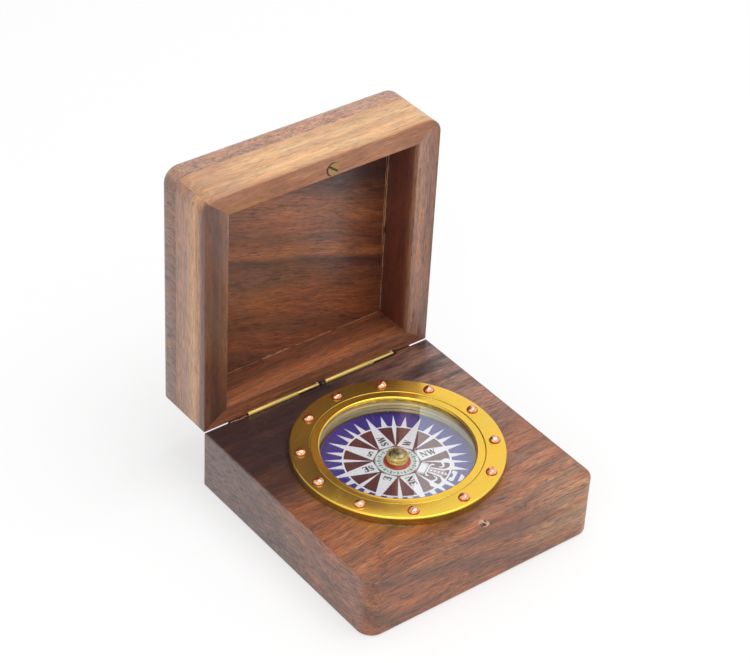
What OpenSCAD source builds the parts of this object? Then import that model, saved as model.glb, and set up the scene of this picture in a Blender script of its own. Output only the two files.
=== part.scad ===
// Magnetic compass in a hinged wooden box.
// The frame: X along the hinge, Y from the front of the box to its back, Z up.
// The origin is the middle of the underside of the base. The lid is drawn shut, then opened.

/* [Box] */
// Room between the flange and each side rail of the shut lid
side_room = 2.1; // [1:0.05:6]
// Room between the flange and the front rail
front_room = 3.7; // [1:0.05:10]
// Room between the flange and the back rail
back_room = 2.1; // [0.5:0.05:6]
// How far the compass stands to the right of the middle
compass_x = 0; // [-0.5:0.1:0.5]
// Height of the base block
base_h = 24.5; // [22:0.5:40]
// Radius of the two upright corners at the front
corner_r = 6.2; // [4.2:0.1:8]
// Radius along the bottom edges of the base
bottom_edge_r = 1.1; // [0.5:0.1:2.5]
// Radius along the edges that meet at the seam
seam_edge_r = 0.4; // [0.2:0.1:1]
// Gap between the shut lid's rim and the base
seam_gap = 0.2; // [0.15:0.05:0.4]

/* [Lid] */
// Height of the four rails of the lid
rail_h = 17.9; // [14:0.1:30]
// Width of the left and right rails
side_rail_w = 9.7; // [8:0.1:11]
// Width of the front rail
front_rail_w = 8.1; // [6:0.1:9]
// Width of the back rail
back_rail_w = 6.7; // [5:0.1:7.5]
// Thickness of the top panel above the rails
panel_t = 9.5; // [5:0.1:12]
// Height of the panel's raised field, which drops inside the rails
field_h = 1.5; // [1:0.1:4]
// Gap between the raised field and the rails
field_gap = 0.15; // [0.05:0.05:0.4]
// Radius along the top edges of the panel
lid_edge_r = 3.5; // [1:0.1:4]
// Angle at which the hinges stop the open lid
open_angle = 90; // [80:1:100]

/* [Hinges] */
// Length of one hinge
hinge_len = 31.5; // [26:0.5:34]
// Space between the two hinges
hinge_space = 3; // [2.4:0.1:8]
// How far the pair of hinges stands to the right of the middle
hinge_shift = 1.4; // [-2:0.1:2]
// How far the hinge pin stands behind the box's back face
hinge_out = 0.2; // [0.1:0.05:0.4]
// Length of the long knuckle, on the lid's leaf
long_knuckle_len = 22; // [18:0.5:23]
// Diameter of the long knuckle
long_knuckle_d = 1.9; // [1.7:0.1:2.6]
// Diameter of the short knuckle, on the base's leaf
short_knuckle_d = 1.5; // [1.4:0.05:1.6]
// Diameter of the steel hinge pin
hinge_pin_d = 0.9; // [0.7:0.05:1]
// Length of pin that stands out of the short knuckle
pin_end_len = 1.5; // [0.5:0.1:2]
// Thickness of the hinge leaves
leaf_t = 0.5; // [0.4:0.05:0.6]
// Height of a hinge leaf from the pin
leaf_h = 7.5; // [6:0.5:9]
// Length of the lug that stops the open lid
stop_len = 2.6; // [1.8:0.1:4]
// Width of that lug along the hinge
stop_w = 12; // [6:0.5:16]

/* [Compass] */
// Outer diameter of the bowl
bowl_d = 60; // [52:1:72]
// Wall of the bowl
bowl_wall = 1.2; // [0.8:0.1:1.6]
// Depth of the bowl below the top of the base
bowl_depth = 16; // [14.5:0.5:18]
// Width of the bowl's lip, which the flange clamps
bowl_lip_w = 3; // [2:0.1:3.4]
// Thickness of the lip and of the bowl's floor
bowl_lip_t = 0.8; // [0.6:0.1:1]
// Width of the flange
flange_w = 7.4; // [6.4:0.1:10]
// Thickness of the flange
flange_t = 3.2; // [2.9:0.1:4]
// How far the glass reaches past the bowl's outside
glass_lap = 0.3; // [0.2:0.1:0.8]
// Wall of the bezel ring round the glass
bezel_wall = 0.75; // [0.6:0.05:1.5]
// How far the bezel ring reaches in from the bowl's outside
bezel_lap = 2.1; // [1.6:0.1:2.6]
// Radius of the bead along the bezel ring's opening
bezel_bead_r = 0.65; // [0.4:0.05:0.8]
// Thickness of the glass
glass_t = 1.2; // [0.8:0.1:1.3]
// Thickness of the gasket under the glass
gasket_t = 0.3; // [0.2:0.05:0.3]
// Number of copper nails, along the middle of the flange
nail_count = 12; // [8:1:16]
// Turn of the ring of nails
nail_turn = 1.5; // [-15:0.5:15]
// Diameter of a nail's domed head
nail_head_d = 3.9; // [3:0.1:4.4]
// Height of a nail's domed head
nail_head_h = 1.2; // [0.8:0.1:1.6]
// Diameter of a nail's shank
nail_shank_d = 1.6; // [1.2:0.1:1.9]
// Length of a nail's shank in the wood
nail_len = 8; // [5:0.5:10]

/* [Card] */
// Gap between the card's edge and the bowl
card_gap = 1.1; // [0.8:0.1:2]
// Thickness of the card
card_t = 0.4; // [0.3:0.05:0.6]
// Depth of the card's upper face below the top of the base
card_drop = 4.5; // [4.5:0.1:5.6]
// Compass bearing of the card's north point, turned from +Y towards +X
card_bearing = 147; // [0:1:359]
// Diameter of the brass hub cap
cap_d = 8.4; // [7:0.1:9]
// Height of the hub cap above the card
cap_h = 4.3; // [4:0.1:4.6]
// Diameter of the red washer under the cap
washer_d = 9.8; // [9:0.1:12]
// Thickness of the red washer
washer_t = 0.5; // [0.3:0.1:0.8]
// Diameter of the cap's stem, which goes through the card
stem_d = 4; // [3.6:0.1:4.4]
// Diameter of the bore in the cap, round the pivot point
cap_bore_d = 2.6; // [2.2:0.1:2.8]
// Length of a needle magnet
needle_len = 42; // [30:1:44]
// Width of a needle magnet
needle_w = 2.4; // [1.6:0.1:3]
// Thickness of a needle magnet
needle_t = 0.8; // [0.5:0.1:1.2]
// Distance between the middles of the two magnets
needle_pitch = 12; // [9:0.5:16]

/* [Pivot] */
// Diameter of the pivot post
post_d = 3; // [2.4:0.1:3.4]
// Diameter of the post's foot
post_foot_d = 9; // [6:0.5:12]
// Thickness of the post's foot
post_foot_t = 1.2; // [0.8:0.1:2]
// Diameter of the steel pivot pin
pivot_pin_d = 1; // [0.8:0.1:1.2]
// Gap between the pin's point and the jewel
tip_gap = 0.05; // [0.02:0.01:0.1]

/* [Catch] */
// Distance of the catch screw to the right of the middle
screw_x = 3; // [-5:0.5:5]
// Distance from the screw's middle to the inside of the front rail
screw_in = 2.8; // [2.8:0.05:3.5]
// Turn of the slot in the catch screw's head
slot_turn = 37; // [0:1:179]
// Diameter of the catch screw's head
screw_head_d = 5; // [4.6:0.1:5.4]
// Diameter of the catch screw's shank
screw_shank_d = 2.4; // [2:0.1:3]
// Length of the catch screw
screw_len = 13; // [8:0.5:14]
// How far the screw's head stands proud of the rim
screw_proud = 0.1; // [0.05:0.05:0.1]
// Distance of the magnet in the base to the right of the middle
magnet_x = 1.5; // [-5:0.5:5]
// Diameter of the magnet in the base
magnet_d = 4; // [3:0.1:5]
// Length of the magnet in the base
magnet_len = 6; // [3:0.5:10]
// Depth of the magnet below the top of the base
magnet_sink = 0.5; // [0.2:0.1:1]

/* [Hidden] */
$fn = 96;

// Clearances
fit = 0.05;             // between a piece and the cut that it is let into
pin_fit = 0.03;         // round a hinge pin, on the radius
groove_fit = 0.15;      // between a knuckle and the wood
bowl_fit = 0.3;         // between the bowl and its bore
stop_fit = 0.02;        // between the stop lug and the base's leaf at rest
eps = 0.01;             // overrun of a cut inside a piece
over = 1;               // overrun of a cut past an open face

// Compass, diameters from the bowl outwards and heights from the top of the base
bowl_in_d = bowl_d - 2 * bowl_wall;
bowl_lip_d = bowl_d + 2 * bowl_lip_w;
glass_d = bowl_d + 2 * glass_lap;
glass_z = gasket_t;
bezel_gap = 0.15;       // between the bezel ring and the flange
bezel_edge = 0.25;      // chamfer on each side of that gap
bezel_slope = 0.7;      // drop of the bezel ring's face towards its bead
bezel_lip_z = glass_z + glass_t;
bezel_seat_d = glass_d + 2 * fit;
bezel_d = bezel_seat_d + 2 * bezel_wall;
bezel_open_d = bowl_d - 2 * bezel_lap;
flange_edge_w = 1.3;    // outer chamfer of the flange
flange_edge_h = 0.7;
flange_in_d = bezel_d + 2 * bezel_gap;
flange_d = flange_in_d + 2 * flange_w;
nail_hole_fit = 0.05;
nail_circle_d = flange_in_d + flange_w;
card_d = bowl_in_d - 2 * card_gap;
card_z = -card_drop;
floor_z = -bowl_depth + bowl_lip_t;

// The box is made to suit the compass
box_w = flange_d + 2 * (side_room + side_rail_w);
box_d = flange_d + front_room + front_rail_w + back_room + back_rail_w;
back_y = box_d / 2;
front_y = -box_d / 2;
compass_y = front_y + front_rail_w + front_room + flange_d / 2;
outer_x = box_w / 2;
inner_x = outer_x - side_rail_w;
inner_front = front_y + front_rail_w;
inner_back = back_y - back_rail_w;

// Seam, hinge axis and lid
lid_z = base_h + seam_gap;
panel_z = lid_z + rail_h;
axis_y = back_y + hinge_out;
axis_z = base_h + seam_gap / 2;

// Hinges
hinge_starts = [for (side = [-1, 1]) hinge_shift + side * (hinge_len + hinge_space) / 2 - hinge_len / 2];
knuckle_gap = 0.1;
short_start = long_knuckle_len + knuckle_gap;
leaf_notch = long_knuckle_d / 2 + groove_fit;
leaf_screw_d = 1.1;
leaf_screw_head_d = 2.6;
leaf_screw_len = 6;
leaf_screw_z = 0.62 * leaf_h;
leaf_screw_in = 6;

// Hub and pivot
hub_hole_fit = 0.1;
cap_skirt_h = 0.9;
cap_waist_h = 0.7;
cap_crown_t = 1.1;
jewel_t = 1;
jewel_dimple = 0.4;
jewel_mouth_d = 1.4;
jewel_point_d = 0.2;
jewel_z = card_z + cap_h - cap_crown_t - jewel_t;
tip_z = jewel_z + jewel_dimple - tip_gap;
tip_len = 1.6;
stem_len = 1.2;
needle_z = card_z - card_t - needle_t;
post_room = 1.4;        // between the post and the magnets
post_z = needle_z - post_room;
pin_socket = 3;
pin_point_d = 0.1;

// Catch
screw_y = inner_front - screw_in;
magnet_y = front_y + front_rail_w / 2;
screw_slot_w = 0.8;
screw_slot_h = 0.9;

// The box's plan, with round corners at the front and square ones at the hinges
module plan(w, d, r) {
    translate([-w / 2 + r, -d]) square([w - 2 * r, d]);
    translate([-w / 2, -d + r]) square([w, d - r]);
    for (x = [-1, 1])
        translate([x * (w / 2 - r), -d + r]) circle(r);
}

module quarter_round(r) {
    intersection() {
        circle(r);
        square(r);
    }
}

// The top of a block with its edges rounded over, except at the back, and z = 0 at its wide face
module round_over(r) {
    linear_extrude(r) plan(box_w - 2 * r, box_d - r, corner_r - r);
    translate([0, r - box_d, 0]) mirror([0, 1, 0])
        rotate([90, 0, 90]) linear_extrude(box_w - 2 * corner_r, center = true) quarter_round(r);
    for (side = [0, 1]) mirror([side, 0, 0]) {
        translate([box_w / 2 - r, 0, 0])
            rotate([90, 0, 0]) linear_extrude(box_d - corner_r) quarter_round(r);
        translate([box_w / 2 - corner_r, corner_r - box_d, 0])
            rotate([0, 0, -90]) rotate_extrude(angle = 90) translate([corner_r - r, 0]) quarter_round(r);
    }
}

// A block of the box's plan from z = 0 up, with its lower and upper edges rounded over
module box_slab(h, low_r, high_r) {
    translate([0, back_y, low_r]) {
        linear_extrude(h - low_r - high_r) plan(box_w, box_d, corner_r);
        if (low_r > 0) mirror([0, 0, 1]) round_over(low_r);
        if (high_r > 0) translate([0, 0, h - low_r - high_r]) round_over(high_r);
    }
}

module at_compass(z = 0) {
    translate([compass_x, compass_y, base_h + z]) children();
}

module at_nails() {
    for (i = [0:nail_count - 1])
        rotate(nail_turn + i * 360 / nail_count) translate([nail_circle_d / 2, 0, 0]) children();
}

// A ring from a list of [radius, height] points
module turned(profile) {
    rotate_extrude() polygon(profile);
}

// The lid is drawn shut, and this opens it about the hinge axis
module opened() {
    translate([0, axis_y, axis_z]) rotate([-open_angle, 0, 0])
        translate([0, -axis_y, -axis_z]) children();
}

module along_x(d, len, start = 0) {
    translate([start, axis_y, axis_z]) rotate([0, 90, 0]) cylinder(d = d, h = len);
}

module hinge_grooves() {
    for (start = hinge_starts)
        along_x(long_knuckle_d + 2 * groove_fit, hinge_len + pin_end_len + 2 * groove_fit, start - groove_fit);
}

// A countersunk screw, its head's face at z = 0 and its shank down -Z
module countersunk(head_d, shank_d, len, grow = 0) {
    head_h = (head_d - shank_d) / 2;
    translate([0, 0, -head_h]) cylinder(d1 = shank_d + 2 * grow, d2 = head_d + 2 * grow, h = head_h);
    translate([0, 0, -len]) cylinder(d = shank_d + 2 * grow, h = len - head_h + eps);
}

// Places a screw at each hole of every leaf, with its head on the back face.
// way is -1 for the leaves on the base and 1 for those on the lid.
module at_leaf_screws(way) {
    for (start = hinge_starts, x = [leaf_screw_in, hinge_len - leaf_screw_in])
        translate([start + x, back_y, axis_z + way * leaf_screw_z]) rotate([-90, 0, 0]) children();
}

module leaf_screws(way) {
    at_leaf_screws(way) countersunk(leaf_screw_head_d, leaf_screw_d, leaf_screw_len);
}

module leaf_screw_holes(way) {
    at_leaf_screws(way) {
        countersunk(leaf_screw_head_d, leaf_screw_d, leaf_screw_len + fit, pin_fit);
        cylinder(d = leaf_screw_head_d + 2 * pin_fit, h = leaf_t);
    }
}

// The shallow recess of every leaf in the back face of the base or of the lid
module leaf_recesses(way) {
    for (start = hinge_starts)
        translate([start - fit, back_y - leaf_t, way > 0 ? axis_z : axis_z - leaf_h - fit])
            cube([hinge_len + 2 * fit, leaf_t + over, leaf_h + fit]);
}

module leaf_plate(way) {
    z_low = leaf_notch;
    translate([0, back_y - leaf_t, way > 0 ? axis_z + z_low : axis_z - leaf_h])
        cube([hinge_len, leaf_t, leaf_h - z_low]);
}

module leaf_root(way, x, len) {
    translate([x, back_y - leaf_t, way > 0 ? axis_z : axis_z - leaf_notch])
        cube([len, leaf_t, leaf_notch]);
}

module pin_hole(start) {
    along_x(hinge_pin_d + 2 * pin_fit, hinge_len + 2 * eps, start - eps);
}

module base_block() {
    color("#7a4a35") difference() {
        box_slab(base_h, bottom_edge_r, seam_edge_r);
        at_compass(-bowl_depth - fit) cylinder(d = bowl_d + 2 * bowl_fit, h = bowl_depth + over);
        at_compass(-bowl_lip_t) cylinder(d = bowl_lip_d + 2 * bowl_fit, h = bowl_lip_t + over);
        at_compass(-nail_len - fit) at_nails() cylinder(d = nail_shank_d + 2 * pin_fit, h = nail_len + over);
        translate([magnet_x, magnet_y, base_h - magnet_sink - magnet_len])
            cylinder(d = magnet_d + 2 * fit, h = magnet_len + magnet_sink + over);
        leaf_recesses(-1);
        hinge_grooves();
        leaf_screw_holes(-1);
    }
}

module compass_bowl() {
    color("#b5893a") at_compass() difference() {
        union() {
            translate([0, 0, -bowl_depth]) cylinder(d = bowl_d, h = bowl_depth);
            translate([0, 0, -bowl_lip_t]) cylinder(d = bowl_lip_d, h = bowl_lip_t);
        }
        translate([0, 0, floor_z]) cylinder(d = bowl_in_d, h = bowl_depth);
    }
}

module flange_ring() {
    r_out = flange_d / 2;
    r_in = flange_in_d / 2;
    color("#c79a2e") at_compass() difference() {
        turned([
            [r_in, 0], [r_out, 0], [r_out, flange_t - flange_edge_h], [r_out - flange_edge_w, flange_t],
            [r_in + bezel_edge, flange_t], [r_in, flange_t - bezel_edge]
        ]);
        translate([0, 0, -eps]) at_nails()
            cylinder(d = nail_shank_d + 2 * nail_hole_fit, h = flange_t + 2 * eps);
    }
}

module copper_nails() {
    dome_r = (pow(nail_head_d / 2, 2) + pow(nail_head_h, 2)) / (2 * nail_head_h);
    color("#d08a5e") at_compass(flange_t) at_nails() {
        rotate_extrude() intersection() {
            translate([0, nail_head_h - dome_r]) circle(dome_r);
            square([nail_head_d, nail_head_h]);
        }
        translate([0, 0, -flange_t - nail_len]) cylinder(d = nail_shank_d, h = flange_t + nail_len);
    }
}

module glass_gasket() {
    color("#2c2a26") at_compass() difference() {
        cylinder(d = glass_d, h = gasket_t);
        translate([0, 0, -eps]) cylinder(d = bowl_in_d, h = gasket_t + 2 * eps);
    }
}

module cover_glass() {
    color("#cfe3ea", 0.3) at_compass(glass_z) cylinder(d = glass_d, h = glass_t);
}

module bezel_ring() {
    r_out = bezel_d / 2;
    r_seat = bezel_seat_d / 2;
    r_bead = bezel_open_d / 2 + bezel_bead_r;
    bead_z = flange_t - bezel_slope;
    color("#d9ae3c") at_compass() {
        turned([
            [r_seat, 0], [r_out, 0], [r_out, flange_t - bezel_edge], [r_out - bezel_edge, flange_t],
            [r_bead, bead_z], [r_bead, bezel_lip_z], [r_seat, bezel_lip_z]
        ]);
        rotate_extrude() translate([r_bead, bead_z]) circle(bezel_bead_r);
    }
}

module pivot_post() {
    color("#b5893a") at_compass() difference() {
        union() {
            translate([0, 0, floor_z]) cylinder(d = post_foot_d, h = post_foot_t);
            translate([0, 0, floor_z]) cylinder(d = post_d, h = post_z - floor_z);
        }
        translate([0, 0, post_z - pin_socket]) cylinder(d = pivot_pin_d + 2 * pin_fit, h = pin_socket + over);
    }
}

module pivot_pin() {
    pin_z = post_z - pin_socket;
    color("#8f9499") at_compass() {
        translate([0, 0, pin_z]) cylinder(d = pivot_pin_d, h = tip_z - tip_len - pin_z);
        translate([0, 0, tip_z - tip_len]) cylinder(d1 = pivot_pin_d, d2 = pin_point_d, h = tip_len);
    }
}

module catch_magnet() {
    color("#4a4a4c") translate([magnet_x, magnet_y, base_h - magnet_sink - magnet_len])
        cylinder(d = magnet_d, h = magnet_len);
}

module base_leaf(start) {
    color("#c9a14a") difference() {
        union() {
            translate([start, 0, 0]) leaf_plate(-1);
            translate([start, 0, 0]) leaf_root(-1, short_start, hinge_len - short_start);
            along_x(short_knuckle_d, hinge_len - short_start, start + short_start);
        }
        pin_hole(start);
        leaf_screw_holes(-1);
    }
}

module left_base_leaf() {
    base_leaf(hinge_starts[0]);
}

module right_base_leaf() {
    base_leaf(hinge_starts[1]);
}

module hinge_pin(start) {
    color("#a9abad") along_x(hinge_pin_d, hinge_len + pin_end_len, start);
}

module left_hinge_pin() {
    hinge_pin(hinge_starts[0]);
}

module right_hinge_pin() {
    hinge_pin(hinge_starts[1]);
}

module base_leaf_screws() {
    color("#c9a14a") leaf_screws(-1);
}

// A lid rail, cut out of the slab that the four rails make. It is given by the two corners of
// the lid at its ends and the two inner ones. Its mitres run on past the lid.
module rail(outer, inner) {
    translate([0, 0, lid_z]) intersection() {
        box_slab(rail_h, seam_edge_r, 0);
        translate([0, 0, -over]) linear_extrude(rail_h + 2 * over)
            polygon([2 * outer[0] - inner[0], 2 * outer[1] - inner[1], inner[1], inner[0]]);
    }
}

module lid_panel() {
    field_w = 2 * inner_x - 2 * field_gap;
    field_d = inner_back - inner_front - 2 * field_gap;
    color("#8a5a42") opened() {
        translate([0, 0, panel_z]) box_slab(panel_t, 0, lid_edge_r);
        translate([-field_w / 2, inner_front + field_gap, panel_z - field_h])
            cube([field_w, field_d, field_h + eps]);
    }
}

module lid_front_rail() {
    color("#b9814f") opened() difference() {
        rail([[-outer_x, front_y], [outer_x, front_y]], [[-inner_x, inner_front], [inner_x, inner_front]]);
        at_catch_screw() countersunk(screw_head_d, screw_shank_d, screw_len + fit, fit);
    }
}

module lid_back_rail() {
    color("#7d4a30") opened() difference() {
        rail([[-outer_x, back_y], [outer_x, back_y]], [[-inner_x, inner_back], [inner_x, inner_back]]);
        leaf_recesses(1);
        hinge_grooves();
        leaf_screw_holes(1);
    }
}

module side_rail() {
    rail([[-outer_x, front_y], [-outer_x, back_y]], [[-inner_x, inner_front], [-inner_x, inner_back]]);
}

module lid_left_rail() {
    color("#9a6b4e") opened() side_rail();
}

module lid_right_rail() {
    color("#9a6b4e") opened() mirror([1, 0, 0]) side_rail();
}

module lid_leaf(start) {
    color("#c9a14a") opened() difference() {
        union() {
            translate([start, 0, 0]) leaf_plate(1);
            translate([start, 0, 0]) leaf_root(1, 0, long_knuckle_len);
            along_x(long_knuckle_d, long_knuckle_len, start);
            stop_lug(start + (long_knuckle_len - stop_w) / 2);
        }
        pin_hole(start);
        leaf_screw_holes(1);
    }
}

// The lug hangs behind the base's leaf when the lid is open, and points back when it is shut
module stop_lug(start) {
    translate([start, axis_y, axis_z]) rotate([open_angle, 0, 0])
        translate([0, back_y + stop_fit - axis_y, -long_knuckle_d / 2 - stop_len])
            cube([stop_w, leaf_t, long_knuckle_d / 2 + stop_len]);
}

module left_lid_leaf() {
    lid_leaf(hinge_starts[0]);
}

module right_lid_leaf() {
    lid_leaf(hinge_starts[1]);
}

module lid_leaf_screws() {
    color("#c9a14a") opened() leaf_screws(1);
}

module at_catch_screw() {
    translate([screw_x, screw_y, lid_z - screw_proud]) mirror([0, 0, 1]) children();
}

module catch_screw() {
    color("#b8965a") opened() at_catch_screw() difference() {
        countersunk(screw_head_d, screw_shank_d, screw_len);
        rotate(slot_turn) translate([-screw_head_d, -screw_slot_w / 2, -screw_slot_h])
            cube([2 * screw_head_d, screw_slot_w, screw_slot_h + over]);
    }
}

module on_card() {
    at_compass(card_z) rotate(-card_bearing) children();
}

module compass_card() {
    color("#ece9e2") on_card() difference() {
        translate([0, 0, -card_t]) cylinder(d = card_d, h = card_t);
        translate([0, 0, -card_t - eps]) cylinder(d = stem_d + 2 * hub_hole_fit, h = card_t + 2 * eps);
    }
}

module card_washer() {
    color("#b5482c") on_card() difference() {
        cylinder(d = washer_d, h = washer_t);
        translate([0, 0, -eps]) cylinder(d = stem_d + 2 * hub_hole_fit, h = washer_t + 2 * eps);
    }
}

module hub_cap() {
    r = cap_d / 2;
    waist_r = r - 0.5;
    waist_z = washer_t + cap_skirt_h;
    dome_z = waist_z + cap_waist_h;
    dome_h = cap_h - dome_z;
    dome_r = (waist_r * waist_r + dome_h * dome_h) / (2 * dome_h);
    color("#c9a04a") on_card() difference() {
        union() {
            turned([
                [0, washer_t], [r - 0.4, washer_t], [r, washer_t + cap_skirt_h / 2],
                [r - 0.4, waist_z], [waist_r, dome_z], [0, dome_z]
            ]);
            rotate_extrude() intersection() {
                translate([0, cap_h - dome_r]) circle(dome_r);
                translate([0, dome_z]) square([waist_r, dome_h]);
            }
            translate([0, 0, -card_t - stem_len]) cylinder(d = stem_d, h = card_t + stem_len + washer_t + eps);
        }
        translate([0, 0, -card_t - stem_len - eps])
            cylinder(d = cap_bore_d, h = jewel_z + jewel_t - card_z + card_t + stem_len + eps);
    }
}

module jewel_cup() {
    color("#8c2f3a") at_compass(jewel_z) difference() {
        cylinder(d = cap_bore_d - 2 * pin_fit, h = jewel_t);
        translate([0, 0, -eps]) cylinder(d1 = jewel_mouth_d, d2 = jewel_point_d, h = jewel_dimple + eps);
    }
}

module needle_magnets() {
    color("#5b6066") on_card() for (side = [-1, 1])
        translate([side * needle_pitch / 2 - needle_w / 2, -needle_len / 2, -card_t - needle_t])
            cube([needle_w, needle_len, needle_t]);
}

base_block();
compass_bowl();
flange_ring();
copper_nails();
glass_gasket();
cover_glass();
bezel_ring();
pivot_post();
pivot_pin();
catch_magnet();
left_base_leaf();
right_base_leaf();
left_hinge_pin();
right_hinge_pin();
base_leaf_screws();
lid_panel();
lid_front_rail();
lid_back_rail();
lid_left_rail();
lid_right_rail();
left_lid_leaf();
right_lid_leaf();
lid_leaf_screws();
catch_screw();
compass_card();
card_washer();
hub_cap();
jewel_cup();
needle_magnets();
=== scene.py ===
import math
import random

import bpy
from mathutils import Matrix, Vector


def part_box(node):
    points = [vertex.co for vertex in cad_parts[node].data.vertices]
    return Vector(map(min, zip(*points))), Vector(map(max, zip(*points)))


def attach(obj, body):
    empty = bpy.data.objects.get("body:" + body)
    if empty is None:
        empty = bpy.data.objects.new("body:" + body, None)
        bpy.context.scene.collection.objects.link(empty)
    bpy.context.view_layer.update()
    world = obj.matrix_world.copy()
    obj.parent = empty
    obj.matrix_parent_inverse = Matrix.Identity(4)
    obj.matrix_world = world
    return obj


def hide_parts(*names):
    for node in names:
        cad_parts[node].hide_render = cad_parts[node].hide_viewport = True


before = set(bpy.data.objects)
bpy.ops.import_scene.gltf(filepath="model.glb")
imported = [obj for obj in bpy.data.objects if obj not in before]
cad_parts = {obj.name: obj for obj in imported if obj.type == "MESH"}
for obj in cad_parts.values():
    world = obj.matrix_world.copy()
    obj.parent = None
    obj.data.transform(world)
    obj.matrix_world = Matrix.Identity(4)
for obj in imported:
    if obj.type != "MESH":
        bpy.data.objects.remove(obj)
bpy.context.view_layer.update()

MM = 0.001
ORIGIN = Vector((0, 0, 0))


def middle(node):
    """Middle of a node's box, in metres."""
    low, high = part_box(node)
    return (low + high) / 2


def width(node):
    """Size of a node along X, in millimetres."""
    low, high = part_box(node)
    return (high.x - low.x) / MM


def heights(node):
    """Bottom and top of a node above the wood's top, in millimetres."""
    low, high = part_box(node)
    return (low.z - wood_top) / MM, (high.z - wood_top) / MM


# Places and sizes taken from the frame, in millimetres where they are radii and heights
compass = middle("flange_ring")
wood_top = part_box("flange_ring")[0].z
compass_at = Vector((compass.x, compass.y, wood_top))
flange_r = width("flange_ring") / 2
flange_t = heights("flange_ring")[1]
bezel_r = width("bezel_ring") / 2
glass_r = width("cover_glass") / 2
glass_low, glass_top = heights("cover_glass")
bowl_lip_r = width("compass_bowl") / 2
bowl_low = heights("compass_bowl")[0]
card_r = width("compass_card") / 2
card_low, card_top = heights("compass_card")
washer_r = width("card_washer") / 2
washer_t = (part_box("card_washer")[1].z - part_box("card_washer")[0].z) / MM
cap_r = width("hub_cap") / 2
cap_top = heights("hub_cap")[1]
magnet = middle("catch_magnet")
screw = middle("catch_screw")
lid_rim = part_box("lid_front_rail")[0].y
panel_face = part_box("lid_panel")[0].y
inside_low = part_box("lid_back_rail")[1].z
inside_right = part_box("lid_right_rail")[0].x
back_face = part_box("base_block")[1].y


# Finishes


def shade(red, green, blue):
    """A colour written as it looks on a screen, from 0 to 255."""
    def linear(value):
        value /= 255
        return value / 12.92 if value <= 0.04045 else ((value + 0.055) / 1.055) ** 2.4
    return (linear(red), linear(green), linear(blue), 1)


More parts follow.
